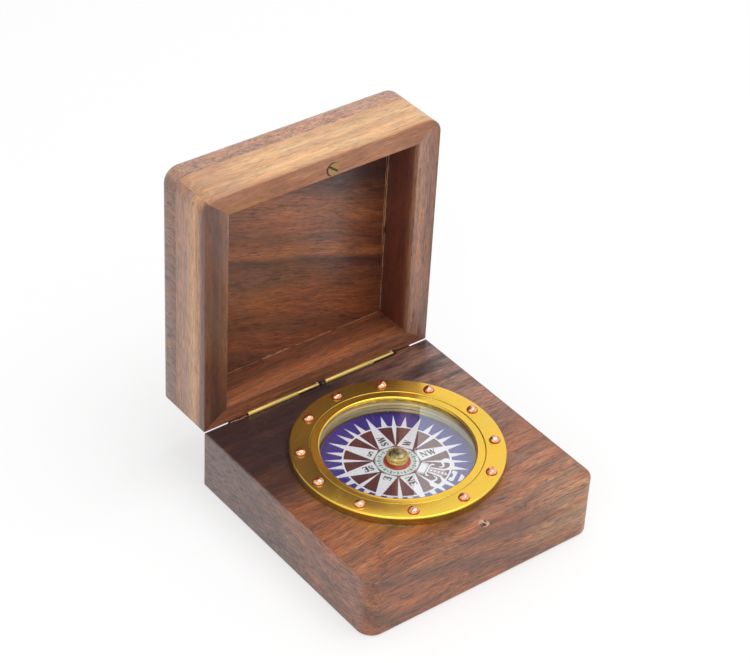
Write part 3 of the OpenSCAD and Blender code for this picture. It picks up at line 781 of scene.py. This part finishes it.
def slotted(node, head_axis, head_at):
    """A copy of the leaf screws with a driving slot across each head."""
    piece = copy_of(node, 0.05)
    cutters = []
    for side in ("left", "right"):
        low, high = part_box(f"{side}_base_leaf")
        for x in (low.x + screw_inset * MM, high.x - screw_inset * MM):
            bpy.ops.object.select_all(action="DESELECT")
            bpy.ops.mesh.primitive_cube_add(size=MM)
            cutter = bpy.context.object
            cutter.data.transform(Matrix.Diagonal((slot_len, slot_w, slot_deep, 1)))
            cutter.data.transform(Matrix.Rotation(random.uniform(0, math.pi), 4, "Z"))
            spot = middle(node)
            spot.x = x
            if head_axis == "Y":
                cutter.data.transform(Matrix.Rotation(math.pi / 2, 4, "X"))
                spot.y = head_at
            else:
                spot.z = head_at
            move(cutter, spot)
            cutters.append(cutter)
    cutter = join(cutters)
    only(piece)
    cut_out = piece.modifiers.new("Boolean", "BOOLEAN")
    cut_out.operation = "DIFFERENCE"
    cut_out.solver = "EXACT"
    cut_out.object = cutter
    bpy.ops.object.modifier_apply(modifier=cut_out.name)
    bpy.data.objects.remove(cutter)
    return piece


random.seed(31)
for body, axis, head_at in (
    ("base", "Y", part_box("base_leaf_screws")[1].y), ("lid", "Z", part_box("lid_leaf_screws")[0].z),
):
    node = f"{body}_leaf_screws"
    screws = slotted(node, axis, head_at)
    finish_piece(screws, f"{node}_brass", body, screw_brass, [node])
catch_screw = copy_of("catch_screw", 0.06)
finish_piece(catch_screw, "catch_screw_brass", "lid", screw_brass, ["catch_screw"])

# A wavy dark print round the screw, a little off its middle, painted shade of the hollow it sits in
edge = []
for i in range(28):
    angle = 2 * math.pi * i / 28
    reach = 2.66 + 0.10 * math.sin(5 * angle)
    edge.append((-0.5 + reach * math.cos(angle), 0.1 + reach * math.sin(angle)))
hollow = printed(edge, -0.02, 0.03)
stand_up(hollow, (screw.x, lid_rim, screw.z))
finish_piece(hollow, "catch_screw_hollow_shade", "lid", shadow_wood)
paint(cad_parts["catch_magnet"], magnet_steel)


# Compass case

flange_in = bezel_r + 0.15
flange = spun([
    (flange_in, 0), (flange_r, 0), (flange_r, flange_t - 0.5), (flange_r - 0.15, flange_t - 0.2),
    (flange_r - 0.45, flange_t - 0.03), (flange_r - 0.7, flange_t),
    (flange_in + 0.14, flange_t), (flange_in, flange_t - 0.14),
])
soften(flange, 0.1, 3, 12)
finish_piece(flange, "brass_flange", "base", flange_brass, ["flange_ring"])

bezel_seat = glass_r + 0.05
bezel_open = 27.9
bead_r = 0.65
bead_z = flange_t - 0.7
bezel = spun(
    [(bezel_seat, 0), (bezel_r, 0), (bezel_r, flange_t - 0.2), (bezel_r - 0.1, flange_t - 0.13),
     (bezel_open + 1.7, flange_t - 0.13), (bezel_open + 1.3, flange_t - 0.1)]
    + arc((bezel_open + bead_r, bead_z), bead_r, 66, 210, 12)
    + [(bezel_open + 0.12, glass_top), (bezel_seat, glass_top)]
)
smooth(28)
finish_piece(bezel, "brass_bezel", "base", bezel_brass, ["bezel_ring"])

glass_plate = spun([
    (0, glass_low), (glass_r - 0.1, glass_low), (glass_r, glass_low + 0.1),
    (glass_r, glass_top - 0.1), (glass_r - 0.1, glass_top), (0, glass_top),
])
smooth(20)
finish_piece(glass_plate, "cover_glass_plate", "base", clear_glass, ["cover_glass"])

bowl_out = 30.0
bowl_in = bowl_out - 1.2
lip_t = 0.8
turned_marks = []
for i in range(9):
    low = 0.5 * i
    turned_marks += [(bowl_in, -0.3 - low), (bowl_in - 0.10 - 0.03 * (i % 3), -0.5 - low)]
bowl = spun([
    (0, bowl_low), (bowl_out, bowl_low), (bowl_out, -lip_t), (bowl_lip_r, -lip_t), (bowl_lip_r, 0),
    (bowl_in, 0), *turned_marks, (bowl_in, bowl_low + lip_t), (0, bowl_low + lip_t),
])
smooth(50)
finish_piece(bowl, "brass_bowl", "base", bowl_brass, ["compass_bowl"])
for node, material in (
    ("glass_gasket", gasket_felt), ("pivot_post", bowl_brass), ("pivot_pin", pin_steel),
    ("jewel_cup", ruby), ("needle_magnets", magnet_steel),
):
    paint(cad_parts[node], material)


# Copper nails

# Degrees by which each nail stands past its even place, as they were knocked in by hand
nail_leads = (2, 3.5, 2.5, 2, -0.5, 2, 0, 0, 1, 3, 2, 1.5)
nail_head_d = 3.9
dent_r = 0.55
nail_ring = (width("copper_nails") - nail_head_d) / 2
random.seed(4)
dome = spun([
    (0, 1.7), (0.5, 1.66), (0.95, 1.53), (1.35, 1.29), (1.65, 0.98), (1.86, 0.6), (1.94, 0.28),
    (1.84, 0), (1.7, -0.1), (0, -0.1),
], steps=32, at=ORIGIN)
smooth(60)
# A thin dark ring round the foot of each head, painted shade where it meets the flange
halo = spun([(1.7, -0.01), (2.12, -0.01), (2.08, 0.02), (1.7, 0.03)], steps=32, at=ORIGIN)
nails, halos = [], []
for i, lead in enumerate(nail_leads):
    turn = 2 * math.pi * i / len(nail_leads) + math.radians(lead)
    lean = Matrix.Rotation(random.uniform(0, 0.09), 4, (math.cos(3 * i), math.sin(3 * i), 0))
    spot = compass_at + Vector((math.cos(turn), math.sin(turn), 0)) * nail_ring * MM
    spot.z += flange_t * MM
    nail = again(dome, Matrix())
    dents = [
        (random.uniform(0, 6.28), random.uniform(0.5, 1.5), random.uniform(0.05, 0.11))
        for _ in range(4)
    ]
    for vertex in nail.data.vertices:
        x, y = vertex.co.x / MM, vertex.co.y / MM
        for angle, reach, deep in dents:
            away = math.hypot(x - reach * math.cos(angle), y - reach * math.sin(angle))
            vertex.co.z -= deep * MM * math.exp(-(away / dent_r) ** 2) * max(vertex.co.z / MM, 0)
    nail.data.transform(Matrix.Translation(spot) @ lean)
    nails.append(nail)
    halos.append(again(halo, Matrix.Translation(spot)))
for piece in (dome, halo):
    bpy.data.objects.remove(piece)
finish_piece(join(nails), "copper_nail_heads", "base", nail_copper, ["copper_nails"])
finish_piece(join(halos), "nail_foot_shade", "base", foot_shade_ink)


# Compass card

bearing = 147.0
card_turn = Matrix.Rotation(-math.radians(bearing), 4, "Z")
card_at = compass_at + Vector((0, 0, card_top * MM))
on_card = Matrix.Translation(card_at) @ card_turn
circle_r = 19.4
hub_r = 7.85
tip_r = 26.0


def round_the_card(piece, count, offset=0.0):
    """Copies of a print round the card, the first turned clockwise by an offset in degrees."""
    copies = []
    for i in range(count):
        turn = Matrix.Rotation(-math.radians(offset + 360 * i / count), 4, "Z")
        copies.append(again(piece, turn))
    bpy.data.objects.remove(piece)
    return copies


def ring_print(r_in, r_out, low, thick=print_t):
    return spun([(r_in, low), (r_out, low), (r_out, low + thick), (r_in, low + thick)], at=ORIGIN)


card_hole_r = 2.1
card_under = card_low - card_top
card = spun([(card_hole_r, card_under), (card_r, card_under), (card_r, 0), (card_hole_r, 0)], at=ORIGIN)
soften(card, 0.04, 2, 40)
card.data.transform(on_card)
finish_piece(card, "printed_card", "card", white_ink, ["compass_card"])


def lay_print(parts, name, material):
    piece = join(parts) if len(parts) > 1 else parts[0]
    piece.data.transform(on_card)
    finish_piece(piece, name, "card", material)


ground = print_t  # top of the blue and maroon, above the card
lay_print([ring_print(circle_r, card_r - 0.05, 0, ground)], "print_blue", blue_ink)
lay_print([ring_print(hub_r, circle_r, 0, ground)], "print_maroon", maroon_ink)

main_half = 3.0
main_foot = hub_r + 0.35
main_ray = printed([
    (-main_half, main_foot), (main_half, main_foot), (0.06, tip_r), (-0.06, tip_r),
], ground)
mains = round_the_card(main_ray, 8)
bpy.data.objects.remove(mains.pop(0))
thin_ray = printed([(0, hub_r + 0.9), (0.85, circle_r), (0, tip_r), (-0.85, circle_r)], ground)
thins = round_the_card(thin_ray, 8, 22.5)
tooth_angle = 10.2
tooth = printed([(-1.15, circle_r), (1.15, circle_r), (0, tip_r - 0.3)], ground)
teeth = round_the_card(again(tooth, Matrix()), 8, 22.5 - tooth_angle)
teeth += round_the_card(tooth, 8, 22.5 + tooth_angle)
rim_line = ring_print(circle_r - 0.32, circle_r + 0.32, ground + 0.005)

# The north mark, a lily of its own drawing
scroll = (
    [(2.8, 14.8), (3.0, 15.7), (3.7, 16.2), (4.6, 15.9), (5.4, 15.2), (6.6, 15.0), (7.5, 15.7),
     (7.7, 16.9), (7.0, 18.1), (5.8, 18.8), (4.4, 18.9), (3.1, 18.3), (2.2, 17.2), (1.7, 15.7),
     (1.5, 14.0), (1.3, 12.2)],
    [0.5, 0.6, 0.7, 0.8, 1.0, 1.3, 1.6, 1.8, 1.8, 1.7, 1.5, 1.2, 0.9, 0.7, 0.6, 0.5],
)
wing = ([(1.6, 11.5), (2.6, 11.7), (3.3, 12.3), (3.2, 13.0)], [0.5, 0.6, 0.7, 0.5])
edge_line = ([(3.0, 8.6), (2.7, 11.1)], [0.35, 0.35])
lily = [
    printed([(-2.6, 8.4), (2.6, 8.4), (2.35, 11.0), (-2.35, 11.0)], ground + 0.01),
    printed([(-1.9, 11.3), (1.9, 11.3), (1.7, 11.9), (-1.7, 11.9)], ground + 0.015),
    printed([(-2.8, 20.0), (-1.3, 20.0), (-0.9, 20.8), (0.9, 20.8), (1.3, 20.0), (2.8, 20.0),
             (3.0, 21.2), (2.4, 21.9), (-2.4, 21.9), (-3.0, 21.2)], ground + 0.01),
    printed([(-2.3, 23.4), (2.3, 23.4), (1.3, 24.9), (-1.3, 24.9)], ground + 0.01),
]
for i in range(5):
    y = 12.9 + 1.35 * i
    lily.append(printed([(0, y - 0.55), (0.55, y), (0, y + 0.55), (-0.55, y)], ground + 0.01))
for path, widths in (scroll, wing, edge_line):
    for side in (1, -1):
        lily.append(printed(ribbon([(side * x, y) for x, y in path], widths), ground + 0.012))
lay_print(mains + thins + teeth + [rim_line] + lily, "print_rose", white_ink)
petal = [(-1.3, 11.9), (-2.3, 14.6), (-2.0, 16.6), (-0.9, 18.2), (0, 19.0)]
petal += [(-x, y) for x, y in petal[-2::-1]]
lay_print([printed(petal, ground, 0.008)], "print_petal", rose_grey_ink)
lay_print([ring_print(hub_r - 0.1, hub_r + 0.25, 0.05)], "print_hub_line", grey_ink)
tick = printed([(-0.3, 5.8), (0.3, 5.8), (0.42, 7.2), (-0.42, 7.2)], ground)
dot = oblong(-0.35, 0.35, 6.2, 6.8, ground)
lay_print(round_the_card(tick, 16) + round_the_card(dot, 16, 11.25), "print_hub_ticks", green_ink)


# Letters one unit high, each with its width and its strokes: a path and its width or widths

THICK = 0.25
THIN = 0.11
SERIF = 0.09
LETTERS = {
    "N": (0.96, [
        ([(0.14, 0), (0.14, 1)], THIN), ([(0.12, 1), (0.82, 0)], THICK), ([(0.82, 0), (0.82, 1)], THIN),
        ([(0, 0.02), (0.28, 0.02)], SERIF), ([(0, 0.98), (0.2, 0.98)], SERIF),
        ([(0.68, 0.98), (0.96, 0.98)], SERIF),
    ]),
    "E": (0.74, [
        ([(0.2, 0), (0.2, 1)], THICK), ([(0.02, 0.03), (0.7, 0.03)], THIN),
        ([(0.2, 0.5), (0.5, 0.5)], THIN), ([(0.02, 0.97), (0.66, 0.97)], THIN),
        ([(0.69, 0), (0.69, 0.24)], SERIF), ([(0.65, 0.78), (0.65, 1)], SERIF),
        ([(0.5, 0.38), (0.5, 0.62)], SERIF),
    ]),
    "W": (1.2, [
        ([(0.12, 1), (0.38, 0)], THICK), ([(0.38, 0.02), (0.6, 1)], THIN),
        ([(0.56, 1), (0.82, 0)], THICK), ([(0.82, 0.02), (1.06, 1)], THIN),
        ([(0, 0.98), (0.28, 0.98)], SERIF), ([(0.44, 0.98), (0.74, 0.98)], SERIF),
        ([(0.94, 0.98), (1.18, 0.98)], SERIF),
    ]),
    "S": (0.64, [
        (
            [(0.54, 0.76), (0.46, 0.92), (0.3, 0.98), (0.15, 0.92), (0.1, 0.77), (0.18, 0.62),
             (0.32, 0.52), (0.47, 0.41), (0.55, 0.26), (0.48, 0.09), (0.3, 0.02), (0.14, 0.08),
             (0.06, 0.25)],
            [0.12, 0.11, 0.12, 0.17, 0.22, 0.25, 0.26, 0.25, 0.22, 0.17, 0.12, 0.11, 0.12],
        ),
        ([(0.55, 0.7), (0.55, 0.98)], SERIF), ([(0.06, 0.02), (0.06, 0.32)], SERIF),
    ]),
}
letter_h = 2.7
letter_gap = 0.08  # as a share of a letter's height
letter_low = 0.045
letter_t = 0.015
label_start = 9.3
labels = {"NE": 45, "E": 90, "SE": 135, "S": 180, "SW": 225, "W": 270, "NW": 315}


def letter(name):
    parts = []
    for path, widths in LETTERS[name][1]:
        if not isinstance(widths, list):
            widths = [widths] * len(path)
        outline = [(x * letter_h, y * letter_h) for x, y in ribbon(path, widths)]
        parts.append(printed(outline, letter_low, letter_t))
    return join(parts)


patterns = {name: letter(name) for name in LETTERS}
words = []
for word, angle in labels.items():
    reach = label_start
    for name in word:
        lie = Matrix.Translation((reach * MM, -letter_h / 2 * MM, 0))
        out = Matrix.Rotation(math.radians(90 - angle), 4, "Z")
        words.append(again(patterns[name], out @ lie))
        reach += (LETTERS[name][0] + letter_gap) * letter_h
for piece in patterns.values():
    bpy.data.objects.remove(piece)
lay_print(words, "print_letters", black_ink)


# Hub

washer = spun([
    (card_hole_r, 0), (washer_r, 0), (washer_r, washer_t), (card_hole_r, washer_t),
], at=card_at)
soften(washer, 0.08, 2, 40)
finish_piece(washer, "red_card_washer", "card", red_washer, ["card_washer"])
cap_z = cap_top - card_top
cap_seam = cap_z - 0.95
# The foot's outline: how far in from the cap's widest, and how far above the washer
foot = [
    (0.6, 0), (0.38, 0.2), (0.34, 0.7), (0.5, 1.1), (0.75, 1.3), (0.9, 1.42), (0.5, 1.56), (0.2, 1.8),
    (0.1, 2.1), (0.18, 2.45),
]
crown = [
    (cap_r - 0.5, cap_seam), (cap_r - 0.75, cap_seam + 0.05), (cap_r - 0.82, cap_seam - 0.12),
    (cap_r - 0.95, cap_seam + 0.1), (2.7, cap_seam + 0.55), (1.8, cap_seam + 0.85),
    (0.8, cap_seam + 0.95), (0, cap_z),
]
cap = spun(
    [(0, washer_t)] + [(cap_r - inset, washer_t + height) for inset, height in foot] + crown,
    steps=72, at=card_at,
)
smooth(40)


def cap_finish():
    """Brass with a darker, greener crown, a painted reflection of dark surroundings in the dome."""
    finish = Finish("hub_brass", metal=0.7, rough=0.14)
    height = finish.along(finish.at(), (0, 0, 1))
    seam_at = (card_at.z / MM) + cap_seam
    crown_cloud = finish.noise(finish.at(), scale=0.5, detail=2)
    crown = finish.range(height, seam_at + 0.02, seam_at + 0.2)
    dark_reflection_tone = finish.mix(finish.range(crown_cloud, 0.38, 0.62), shade(112, 106, 70), shade(176, 168, 124))
    finish.set("Base Color", finish.mix(crown, shade(236, 208, 118), dark_reflection_tone))
    finish.set("Roughness", finish.range(crown_cloud, 0.3, 0.7, 0.16, 0.22))
    return finish.material


finish_piece(cap, "brass_hub_cap", "card", cap_finish(), ["hub_cap"])


# Room, lamps and camera

bpy.ops.object.select_all(action="DESELECT")
bpy.ops.mesh.primitive_plane_add(size=8, location=(0, 0, 0))
floor = bpy.context.object
floor.name = "floor"


def path_share(tree):
    """1 for what the camera sees, straight or in metal and glass, and 0 for other light."""
    path = tree.nodes.new("ShaderNodeLightPath")
    share = path.outputs["Is Camera Ray"]
    for name in ("Is Glossy Ray", "Is Transmission Ray"):
        either = tree.nodes.new("ShaderNodeMath")
        either.operation = "MAXIMUM"
        tree.links.new(share, either.inputs[0])
        tree.links.new(path.outputs[name], either.inputs[1])
        share = either.outputs[0]
    return share


def floor_finish():
    material = bpy.data.materials.new("floor_paper")
    material.use_nodes = True
    tree = material.node_tree
    tree.nodes.clear()
    out = tree.nodes.new("ShaderNodeOutputMaterial")
    share = path_share(tree)
    white = tree.nodes.new("ShaderNodeMapRange")
    tree.links.new(share, white.inputs[0])
    white.inputs["To Min"].default_value = 0.80
    white.inputs["To Max"].default_value = 0.42
    paper = tree.nodes.new("ShaderNodeBsdfDiffuse")
    tree.links.new(white.outputs[0], paper.inputs["Color"])
    lift = tree.nodes.new("ShaderNodeEmission")
    both = tree.nodes.new("ShaderNodeAddShader")
    level = tree.nodes.new("ShaderNodeMath")
    level.operation = "MULTIPLY"
    tree.links.new(share, level.inputs[0])
    level.inputs[1].default_value = 0.62
    tree.links.new(level.outputs[0], lift.inputs["Strength"])
    tree.links.new(paper.outputs[0], both.inputs[0])
    tree.links.new(lift.outputs[0], both.inputs[1])
    tree.links.new(both.outputs[0], out.inputs[0])
    return material


floor.data.materials.append(floor_finish())

world = bpy.data.worlds.new("studio")
bpy.context.scene.world = world
world.use_nodes = True
tree = world.node_tree
tree.nodes.clear()
sky = tree.nodes.new("ShaderNodeBackground")
sky_out = tree.nodes.new("ShaderNodeOutputWorld")
sky_level = tree.nodes.new("ShaderNodeMapRange")
tree.links.new(path_share(tree), sky_level.inputs[0])
sky_level.inputs["To Min"].default_value = 0.55
sky_level.inputs["To Max"].default_value = 1.0
tree.links.new(sky_level.outputs[0], sky.inputs["Strength"])
sky.inputs["Color"].default_value = grey(1.0)
tree.links.new(sky.outputs[0], sky_out.inputs[0])


def lamp(name, at, aim, size, power):
    data = bpy.data.lights.new(name, "AREA")
    data.shape = "SQUARE"
    data.size = size
    data.energy = power
    source = bpy.data.objects.new(name, data)
    source.location = at
    source.rotation_mode = "QUATERNION"
    source.rotation_quaternion = (Vector(aim) - Vector(at)).to_track_quat("-Z", "Y")
    bpy.context.scene.collection.objects.link(source)


lamp("overhead_lamp", (0.25, -0.15, 1.2), (0, 0, 0.05), 0.9, 6.5)
lamp("left_lamp", (-1.0, -0.6, 0.7), (0, 0, 0.05), 0.7, 2.0)

lens_px = 2356.1
picture_w = 750
camera_at = Vector((-417.11, -491.94, 557.50)) * MM
camera_yaw = math.radians(39.277)
camera_pitch = math.radians(-36.605)
camera_roll = math.radians(3.302)


def camera_turn(yaw, pitch, roll):
    """Turns the camera to look along a heading, measured from +Y towards +X."""
    forward = Vector((math.sin(yaw) * math.cos(pitch), math.cos(yaw) * math.cos(pitch), math.sin(pitch)))
    right = Vector((math.cos(yaw), -math.sin(yaw), 0))
    up = right.cross(forward)
    side = right * math.cos(roll) + up * math.sin(roll)
    top = up * math.cos(roll) - right * math.sin(roll)
    return Matrix((side, top, -forward)).transposed().to_quaternion()


camera_data = bpy.data.cameras.new("camera")
camera_data.sensor_width = 36
camera_data.lens = lens_px * camera_data.sensor_width / picture_w
camera_data.clip_start = 0.01
camera = bpy.data.objects.new("camera", camera_data)
camera.location = camera_at
camera.rotation_mode = "QUATERNION"
camera.rotation_quaternion = camera_turn(camera_yaw, camera_pitch, camera_roll)
bpy.context.scene.collection.objects.link(camera)
bpy.context.scene.camera = camera
bpy.context.scene.view_settings.view_transform = "Standard"
